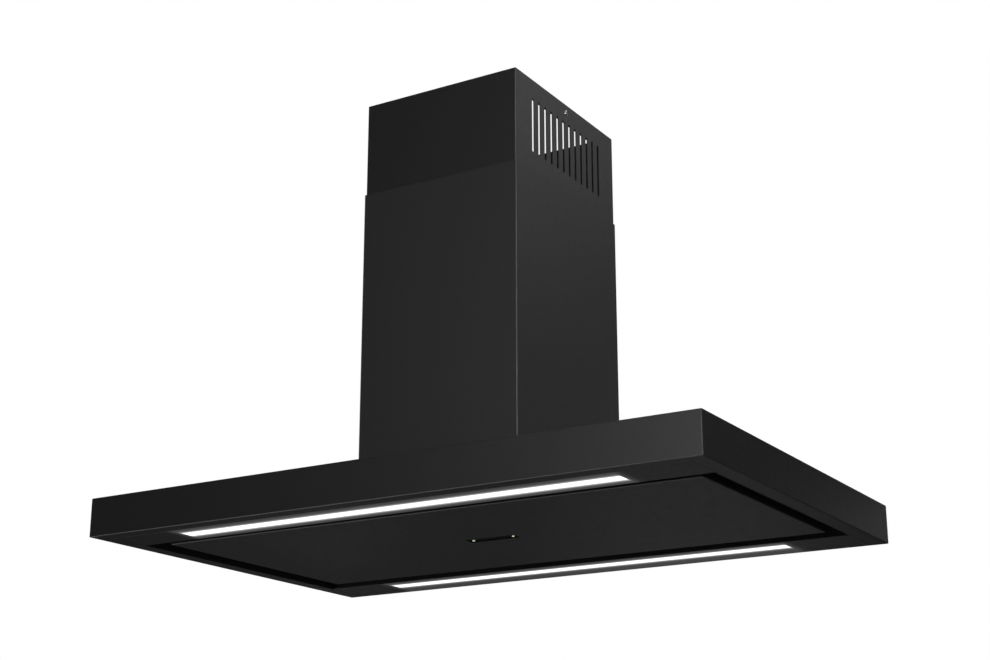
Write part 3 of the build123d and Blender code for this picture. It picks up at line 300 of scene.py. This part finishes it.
# Ground steel bar: fine rings left by the wheel, running round the axis.
bar = {"colour": "#b4b5b7", "roughness": 0.25, "ring": 2.0, "waver": 0.6, "depth": 0.00001}
ground, tree, shader, place = startMaterial("groundSteel", bar["colour"], bar["roughness"], 1.0)
rings = addNode(tree, "TexWave", {
    "Vector": place, "Scale": perMetre(bar["ring"]), "Distortion": bar["waver"], "Detail": 2.0},
    bands_direction="X")
cut = addNode(tree, "Bump", {"Height": rings.outputs["Fac"], "Distance": bar["depth"]})
tree.links.new(cut.outputs["Normal"], shader.inputs["Normal"])
wear(ground, "motor_shaft", "damper_spindle")

# Flame-retardant ABS and glass-filled polyamide, injection moulded: dark, with a low sheen broken
# by the pits of a spark-eroded mould. The same skin, coarser or finer, dulls moulded rubber,
# pressed powder and die castings.
skins = {  # colour, roughness, millimetres across a pit, metres deep, metallic
    "mouldedBlackAbs": ("#1c1c1d", 0.45, 0.9, 0.00003, 0.0),
    "glassFilledPolyamide": ("#4c4e50", 0.5, 1.4, 0.00004, 0.0),
    "mouldedEpdmRubber": ("#161616", 0.75, 1.0, 0.00003, 0.0),
    "sinteredFerrite": ("#2b2a2b", 0.65, 0.7, 0.00005, 0.0),
    "sinteredBronze": ("#8e7148", 0.42, 0.5, 0.00004, 1.0),
    "dieCastAluminium": ("#a3a5a8", 0.45, 1.2, 0.00006, 1.0),
}
sheenSpread = 0.06  # to either side of the roughness


def pittedSkin(name):
    colour, roughness, pit, depth, metallic = skins[name]
    material, tree, shader, place = startMaterial(name, colour, roughness, metallic)
    pits = addNode(tree, "TexNoise", {"Vector": place, "Scale": perMetre(pit), "Detail": 3.0})
    eroded = addNode(tree, "Bump", {"Height": pits.outputs["Fac"], "Distance": depth})
    tree.links.new(eroded.outputs["Normal"], shader.inputs["Normal"])
    sheen = addNode(tree, "MapRange", {
        "Value": pits.outputs["Fac"], "To Min": roughness - sheenSpread,
        "To Max": roughness + sheenSpread})
    tree.links.new(sheen.outputs["Result"], shader.inputs["Roughness"])
    return material


wear(pittedSkin("mouldedBlackAbs"), "left_scroll_half", "right_scroll_half", "outlet_collar",
     "front_damper_flap", "rear_damper_flap", "sensor_housing", "control_box", "control_box_lid",
     "led_driver")
wear(pittedSkin("glassFilledPolyamide"), "impeller", "left_filter_latch", "right_filter_latch")
wear(pittedSkin("mouldedEpdmRubber"), "cable_grommet")
wear(pittedSkin("sinteredFerrite"), "catch_magnets")
wear(pittedSkin("sinteredBronze"), "motor_bearings")
wear(pittedSkin("dieCastAluminium"), "motor")

# Anodised extrusion, deep-drawn can and slit-and-stretched foil: silver, streaked one way, and
# duller where the oxide or the grease takes some of the shine.
drawn = {  # colour, roughness, how tight along X, Y and Z, millimetres between lines, metallic
    "anodisedAluminiumProfile": ("#c4c6c8", 0.38, (0.04, 1.0, 1.0), 0.6, 0.4),
    "drawnAluminiumCan": ("#c4c6c8", 0.3, (1.0, 1.0, 0.04), 0.6, 1.0),
    "expandedAluminiumMesh": ("#c0c2c4", 0.34, (1.0, 0.3, 1.0), 1.5, 0.45),
}
streak = {"smoother": 0.08, "rougher": 0.1, "depth": 0.00001}


def drawnAluminium(name):
    # fine lines along the way the metal was pulled or rolled
    colour, roughness, along, pitch, metallic = drawn[name]
    material, tree, shader, place = startMaterial(name, colour, roughness, metallic)
    stretch = addNode(tree, "Mapping", {"Vector": place, "Scale": along})
    lines = addNode(tree, "TexNoise", {
        "Vector": stretch.outputs["Vector"], "Scale": perMetre(pitch), "Detail": 3.0})
    rough = addNode(tree, "MapRange", {
        "Value": lines.outputs["Fac"], "To Min": roughness - streak["smoother"],
        "To Max": roughness + streak["rougher"]})
    tree.links.new(rough.outputs["Result"], shader.inputs["Roughness"])
    score = addNode(tree, "Bump", {"Height": lines.outputs["Fac"], "Distance": streak["depth"]})
    tree.links.new(score.outputs["Normal"], shader.inputs["Normal"])
    return material


wear(drawnAluminium("anodisedAluminiumProfile"), "front_light_channel", "rear_light_channel",
     "left_filter_frame", "right_filter_frame")
wear(drawnAluminium("drawnAluminiumCan"), "motor_capacitor")
expanded = drawnAluminium("expandedAluminiumMesh")
wear(expanded, "left_filter_mesh", "right_filter_mesh")

# White solder lacquer over an aluminium core board, with its copper areas just showing through.
lacquer = {"colour": "#e6e7e2", "copper": "#dcded8", "gap": "#c9ccc4", "area": 80.0,
           "gapShare": 0.01, "roughness": 0.35}
boardLacquer, tree, shader, place = startMaterial(
    "whiteSolderLacquer", lacquer["colour"], lacquer["roughness"])
tracks = addNode(tree, "TexBrick", {
    "Vector": place, "Scale": perMetre(lacquer["area"]), "Color1": linear(lacquer["colour"]),
    "Color2": linear(lacquer["copper"]), "Mortar": linear(lacquer["gap"]),
    "Mortar Size": lacquer["gapShare"]})
tree.links.new(tracks.outputs["Color"], shader.inputs["Base Color"])
wear(boardLacquer, "front_led_board", "rear_led_board")

# Opal acrylic, extruded: it glows evenly from the board behind it.
opal = {"colour": "#f6f7f8", "cloudy": "#eef0f2", "clear": "#fbfbfa", "cloud": 8.0,
        "roughness": 0.35, "glow": "#fdfdff", "strength": 1.3}
opalMaterial, tree, shader, place = startMaterial("opalAcrylic", opal["colour"], opal["roughness"])
shader.inputs["Emission Color"].default_value = linear(opal["glow"])
shader.inputs["Emission Strength"].default_value = opal["strength"]
clouds = addNode(tree, "TexNoise", {"Vector": place, "Scale": perMetre(opal["cloud"])})
haze = addNode(tree, "Mix", {
    "Factor": clouds.outputs["Fac"], "A": linear(opal["cloudy"]), "B": linear(opal["clear"])},
    data_type="RGBA")
tree.links.new(haze.outputs["Result"], shader.inputs["Base Color"])
wear(opalMaterial, "front_diffuser", "rear_diffuser")

# Smoked acrylic over the sensor, cast and polished: near black, with so little sheen from below
# that it reads as a dark window.
smoke = {"colour": "#030303", "roughness": 0.08, "smear": 12.0, "clean": 0.2, "greasy": 0.3,
         "gloss": 0.02}
smoked, tree, shader, place = startMaterial("smokedAcrylic", smoke["colour"], smoke["roughness"])
smears = addNode(tree, "TexNoise", {
    "Vector": place, "Scale": perMetre(smoke["smear"]), "Detail": 3.0})
film = addNode(tree, "MapRange", {
    "Value": smears.outputs["Fac"], "To Min": smoke["clean"], "To Max": smoke["greasy"]})
tree.links.new(film.outputs["Result"], shader.inputs["Roughness"])
shader.inputs["Specular IOR Level"].default_value = smoke["gloss"]
wear(smoked, "sensor_window")

# Light guides of clear polycarbonate: white in the middle, green towards the rim.
guide = {"colour": "#dfead8", "roughness": 0.2, "middle": "#f6fdf0", "rim": "#a9c79c",
         "strength": 0.9, "radius": 0.0018}
dotLow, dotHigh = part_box("status_lights")
guideMaterial, tree, shader, place = startMaterial(
    "litLightGuide", guide["colour"], guide["roughness"])
axes = addNode(tree, "SeparateXYZ", {"Vector": place})
sideways = addNode(tree, "Math", {0: axes.outputs["X"]}, operation="ABSOLUTE")
folded = addNode(tree, "CombineXYZ", {"X": sideways.outputs[0], "Y": axes.outputs["Y"]})
radial = addNode(tree, "VectorMath", {
    0: folded.outputs[0], 1: (dotHigh.x - guide["radius"], (dotLow.y + dotHigh.y) / 2, 0.0)},
    operation="DISTANCE")
ring = addNode(tree, "MapRange", {
    "Value": radial.outputs["Value"], "From Max": guide["radius"]})
glow = addNode(tree, "Mix", {
    "Factor": ring.outputs["Result"], "A": linear(guide["middle"]), "B": linear(guide["rim"])},
    data_type="RGBA")
tree.links.new(glow.outputs["Result"], shader.inputs["Emission Color"])
shader.inputs["Emission Strength"].default_value = guide["strength"]
wear(guideMaterial, "status_lights")
print("finishes on", len(bpy.data.materials), "materials")

tolerance = {"weld": 0.00001, "same": 0.0001, "flat": math.radians(1)}


def mergedCopy(node):
    bm = bmesh.new()
    bm.from_mesh(nodes[node].data)
    bmesh.ops.remove_doubles(bm, verts=bm.verts, dist=tolerance["weld"])
    bmesh.ops.dissolve_limit(bm, angle_limit=tolerance["flat"], verts=bm.verts, edges=bm.edges)
    return bm


def same(one, other):
    return abs(one - other) < tolerance["same"]


# The lower chimney cover: a front sheet with bent upright edges, and the wrap that starts a little
# behind them, so that a seam shows.
lowerCover = {"bendRadius": 0.0009, "bendSegments": 3, "seam": 0.0024, "longEdge": 0.1}
low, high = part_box("lower_cover_front")
bm = mergedCopy("lower_cover_front")
upright = [edge for edge in bm.edges
           if edge.calc_length() > lowerCover["longEdge"]
           and all(same(vert.co.y, low.y) and same(abs(vert.co.x), high.x)
                   for vert in edge.verts)]
bmesh.ops.bevel(bm, geom=upright, offset=lowerCover["bendRadius"], offset_type="OFFSET",
                segments=lowerCover["bendSegments"], profile=0.5, affect="EDGES", material=-1)
newPiece("lowerFrontSheet", bm, coatLower, "canopy", ["lower_cover_front"])

low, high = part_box("lower_cover_rear")
bm = mergedCopy("lower_cover_rear")
bmesh.ops.translate(bm, vec=(0, lowerCover["seam"], 0),
                    verts=[vert for vert in bm.verts if same(vert.co.y, low.y)])
newPiece("lowerWrap", bm, coatLower, "canopy", ["lower_cover_rear"])
print("lower covers done")

# Light plates: their long lower folds are rounded, and draw a thin light line.
plateFold = {"radius": 0.0009, "segments": 3, "longEdge": 0.5}
for end in ("front", "rear"):
    low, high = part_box(f"{end}_light_plate")
    bm = mergedCopy(f"{end}_light_plate")
    folds = [edge for edge in bm.edges
             if edge.calc_length() > plateFold["longEdge"]
             and all(same(vert.co.z, low.z)
                     and (same(vert.co.y, low.y) or same(vert.co.y, high.y))
                     for vert in edge.verts)]
    bmesh.ops.bevel(bm, geom=folds, offset=plateFold["radius"], offset_type="OFFSET",
                    segments=plateFold["segments"], profile=0.5, affect="EDGES", material=-1)
    newPiece(f"{end}LightPlate", bm, coatPaintedGlow, "canopy", [f"{end}_light_plate"])
    print(end, "light plate done")

# Button heads with a hexagon socket. Each place is a point on the sheet and the way out of it, and
# the dome's numbers are degrees up the head's curve.
screw = {"segments": 24, "dome": (0, 28, 52, 70), "socketSides": 6, "socketShare": 0.42,
         "socketDepth": 0.6, "shankSegments": 16, "shankShare": 0.5}


def addScrews(bm, places, radius, height, shank=0.0):
    for at, out in places:
        part = bmesh.new()
        rings = []
        for angle in screw["dome"]:
            reach, rise = math.cos(math.radians(angle)), math.sin(math.radians(angle))
            rings.append(bmesh.ops.create_circle(
                part, segments=screw["segments"], radius=radius * reach, cap_ends=angle == 0,
                matrix=Matrix.Translation((0, 0, height * rise)))["verts"])
        for level in (rise, rise - screw["socketDepth"]):
            rings.append(bmesh.ops.create_circle(
                part, segments=screw["socketSides"], radius=radius * screw["socketShare"],
                cap_ends=level < rise, matrix=Matrix.Translation((0, 0, height * level)))["verts"])
        for lower, upper in zip(rings, rings[1:]):
            loops = [edge for edge in part.edges
                     if all(end in lower for end in edge.verts)
                     or all(end in upper for end in edge.verts)]
            bmesh.ops.bridge_loops(part, edges=loops)
        bmesh.ops.recalc_face_normals(part, faces=part.faces)
        if shank:
            core = radius * screw["shankShare"]
            bmesh.ops.create_cone(part, cap_ends=True, segments=screw["shankSegments"],
                                  radius1=core, radius2=core, depth=shank,
                                  matrix=Matrix.Translation((0, 0, -shank / 2)))
        turn = Vector(out).to_track_quat("Z", "Y").to_matrix().to_4x4()
        bmesh.ops.transform(part, matrix=Matrix.Translation(at) @ turn, verts=part.verts)
        piece = bpy.data.meshes.new("screw")
        part.to_mesh(piece)
        part.free()
        bm.from_mesh(piece)
        bpy.data.meshes.remove(piece)


coverScrew = {"shank": 0.011}
low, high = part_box("cover_screws")
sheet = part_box("upper_chimney_cover")[1].x
screwZ = (low.z + high.z) / 2
bm = bmesh.new()
addScrews(bm, [((side * sheet, 0, screwZ), (side, 0, 0)) for side in (-1, 1)],
          high.y, high.x - sheet, coverScrew["shank"])
newPiece("coverScrewPair", bm, plated, "ceiling_side", ["cover_screws"])

# Self-tapping screws under the top sheet: in the feet of the hinges and catches, round the pan's
# fold, in the driver's ears and in the control box lid.
tapping = {"radius": 0.003, "height": 0.0018, "footSheet": 0.002, "catchSheet": 0.0015,
           "foldSheet": 0.001, "footInset": (0.021, 0.01), "hingeReach": 0.0155,
           "catchReach": 0.008, "lidInset": 0.007, "earInset": 0.006, "foldInset": 0.006,
           "foldRow": (-0.24, -0.08, 0.08, 0.24)}
points = []
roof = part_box("filter_pan")[1].z
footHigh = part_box("hinge_brackets")[1]
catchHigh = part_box("catch_brackets")[1]
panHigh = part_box("filter_pan")[1]
lidLow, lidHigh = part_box("control_box_lid")
earLow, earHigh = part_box("led_driver")
footX, footY = footHigh.x - tapping["footInset"][0], footHigh.y - tapping["footInset"][1]
for side in (-1, 1):
    lidEnd = lidHigh.x if side > 0 else lidLow.x
    for step in (-1, 1):
        points.append((side * footX + step * tapping["hingeReach"], footY,
                       roof - tapping["footSheet"]))
        points.append((side * footX + step * tapping["catchReach"],
                       catchHigh.y - tapping["foldInset"], roof - tapping["catchSheet"]))
        points.append((lidEnd - side * tapping["lidInset"],
                       step * (lidHigh.y - tapping["lidInset"]), lidLow.z))
    points.append(((earLow.x + earHigh.x) / 2, side * (earHigh.y - tapping["earInset"]),
                   roof - tapping["footSheet"]))
    for along in tapping["foldRow"]:
        points.append((along, side * (panHigh.y - tapping["foldInset"]),
                       roof - tapping["foldSheet"]))
bm = bmesh.new()
addScrews(bm, [(point, (0, 0, -1)) for point in points], tapping["radius"], tapping["height"])
newPiece("undersideScrews", bm, plated, "canopy")
print("underside screws done,", len(points))

# Grease filters: three waved layers of expanded metal in each frame, every other one turned.
filterMesh = {
    "cellLong": 0.012,
    "cellShort": 0.0065,
    "strand": 0.0011,
    "foil": 0.0003,
    "layers": 3,
    "wave": 0.0005,
    "waveLength": 0.03,
}


def expandedLayer(bm, low, high, height, turned):
    long, short = filterMesh["cellLong"], filterMesh["cellShort"]
    if turned:
        long, short = short, long
    middle = (low + high) / 2
    count = math.ceil((high.x - low.x) / long + (high.y - low.y) / short) + 2
    bmesh.ops.create_grid(bm, x_segments=count, y_segments=count, size=count / 2)
    # squares stood on a corner, then stretched to the cell's length and width
    turn = Matrix.Rotation(math.radians(45), 4, "Z")
    shape = Matrix.Diagonal((long / math.sqrt(2), short / math.sqrt(2), 1.0, 1.0))
    bmesh.ops.transform(bm, matrix=Matrix.Translation((middle.x, middle.y, height)) @ shape @ turn,
                        verts=bm.verts)
    faces = bm.faces[:]
    inset = bmesh.ops.inset_individual(bm, faces=faces, thickness=filterMesh["strand"] / 2,
                                       use_even_offset=True)
    ring = set(inset["faces"])
    bmesh.ops.delete(bm, geom=[face for face in faces if face not in ring], context="FACES")


for side in ("left", "right"):
    node = f"{side}_filter_mesh"
    low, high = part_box(node)
    step = (high.z - low.z) / (filterMesh["layers"] + 1)
    bm = bmesh.new()
    for layer in range(filterMesh["layers"]):
        part = bmesh.new()
        expandedLayer(part, low, high, low.z + step * (layer + 1), layer % 2)
        for at, normal in (((low.x, 0, 0), (-1, 0, 0)), ((high.x, 0, 0), (1, 0, 0)),
                           ((0, low.y, 0), (0, -1, 0)), ((0, high.y, 0), (0, 1, 0))):
            bmesh.ops.bisect_plane(part, geom=part.verts[:] + part.edges[:] + part.faces[:],
                                   plane_co=at, plane_no=normal, clear_outer=True)
        for vert in part.verts:
            turns = vert.co.x / filterMesh["waveLength"]
            vert.co.z += filterMesh["wave"] * math.sin(turns * math.tau)
        bmesh.ops.solidify(part, geom=part.faces[:], thickness=filterMesh["foil"])
        piece = bpy.data.meshes.new("layer")
        part.to_mesh(piece)
        part.free()
        bm.from_mesh(piece)
        bpy.data.meshes.remove(piece)
    newPiece(f"{side}FilterMesh", bm, expanded, "canopy", [node])
    print(side, "filter mesh done")

# The room: a pale floor far below, a white surround for the camera and a faint fill for the hood.
room = {
    "floorDrop": 5.4,
    "floorHalf": 60.0,
    "floorColour": "#e9e7e3",
    "floorRoughness": 0.7,
    "floorLift": 0.95,
    "white": (1, 1, 1, 1),
    "backdrop": 1.0,
    "fill": 0.015,
}
bm = bmesh.new()
bmesh.ops.create_grid(bm, x_segments=1, y_segments=1, size=room["floorHalf"])
bmesh.ops.translate(bm, vec=(0, 0, cadBox[0].z - room["floorDrop"]), verts=bm.verts)
floorMesh = bpy.data.meshes.new("floor")
bm.to_mesh(floorMesh)
bm.free()
floor = bpy.data.objects.new("floor", floorMesh)
bpy.context.scene.collection.objects.link(floor)
floorPaint, tree, shader, place = startMaterial(
    "paleFloor", room["floorColour"], room["floorRoughness"])
shader.inputs["Emission Color"].default_value = linear(room["floorColour"])
shader.inputs["Emission Strength"].default_value = room["floorLift"]
floorMesh.materials.append(floorPaint)
floor.visible_glossy = floor.visible_diffuse = False  # a black coat would show it as grey haze

world = bpy.data.worlds.new("studio")
bpy.context.scene.world = world
world.use_nodes = True
tree = world.node_tree
tree.nodes.clear()
sight = addNode(tree, "LightPath")
back = addNode(tree, "Background", {"Color": room["white"], "Strength": room["backdrop"]})
fill = addNode(tree, "Background", {"Color": room["white"], "Strength": room["fill"]})
both = addNode(tree, "MixShader", {
    0: sight.outputs["Is Camera Ray"], 1: fill.outputs[0], 2: back.outputs[0]})
addNode(tree, "OutputWorld", {"Surface": both.outputs[0]})

# Round soft boxes: azimuth from the front towards +X and height in degrees, metres away, watts and
# metres across. The front and rear ones draw the slow fade along the black sheet, the small near
# ones its brighter ends, and the low ones its underside.
aim = (0.0, 0.0, -0.4)  # they all face this point
lamps = {
    "front": (0, 5, 4.0, 24.0, 1.3),
    "frontNear": (20, 3, 1.8, 10.5, 0.4),
    "frontHigh": (340, 30, 4.0, 2.0, 1.3),
    "frontRight": (59, 14, 4.0, 20.0, 1.3),
    "frontLowLeft": (315, -22, 4.0, 3.5, 1.3),
    "right": (90, 5, 4.0, 7.0, 1.3),
    "rear": (180, 5, 4.0, 36.0, 1.3),
    "rearRight": (140, 30, 4.0, 8.0, 1.3),
    "rearRightNear": (152, -2, 1.3, 0.06, 0.2),
    "rearLowRight": (135, -22, 4.0, 5.0, 1.3),
    "rearHigh": (160, 55, 4.0, 35.0, 1.3),
    "rearLeft": (220, 5, 4.0, 20.0, 1.3),
    "rearHighLeft": (225, 25, 4.0, 8.0, 1.3),
    "rearLow": (200, -20, 4.0, 0.9, 1.3),
    "rearLowLeft": (220, -20, 4.0, 0.45, 1.3),
    "left": (270, 5, 4.0, 16.0, 1.3),
    "top": (0, 90, 4.0, 40.0, 1.3),
    "under": (300, -55, 1.6, 5.0, 1.3),
    "straightUnder": (0, -90, 1.75, 2.0, 1.3),
}
for name, (azimuth, height, away, power, across) in lamps.items():
    light = bpy.data.lights.new(name, "AREA")
    light.shape = "DISK"
    light.size = across
    light.energy = power
    holder = bpy.data.objects.new(name, light)
    bpy.context.scene.collection.objects.link(holder)
    turn, rise = math.radians(azimuth), math.radians(height)
    level = math.cos(rise)
    out = Vector((math.sin(turn) * level, -math.cos(turn) * level, math.sin(rise)))
    holder.location = Vector(aim) + out * away
    holder.rotation_euler = (-out).to_track_quat("-Z", "Y").to_euler()
    holder.visible_camera = False

# The camera stands low and to the right of the hood's front, and looks up.
view = {"at": (1.205, -1.978, -1.058), "turn": 31.27, "up": 17.76, "lens": 63.0, "sensor": 36.0}
camera = bpy.data.objects.new("camera", bpy.data.cameras.new("camera"))
bpy.context.scene.collection.objects.link(camera)
camera.location = view["at"]
camera.rotation_euler = (math.radians(90 + view["up"]), 0, math.radians(view["turn"]))
camera.data.lens = view["lens"]
camera.data.sensor_width = view["sensor"]
bpy.context.scene.camera = camera
bpy.context.scene.view_settings.view_transform = "Standard"
print("stage set")
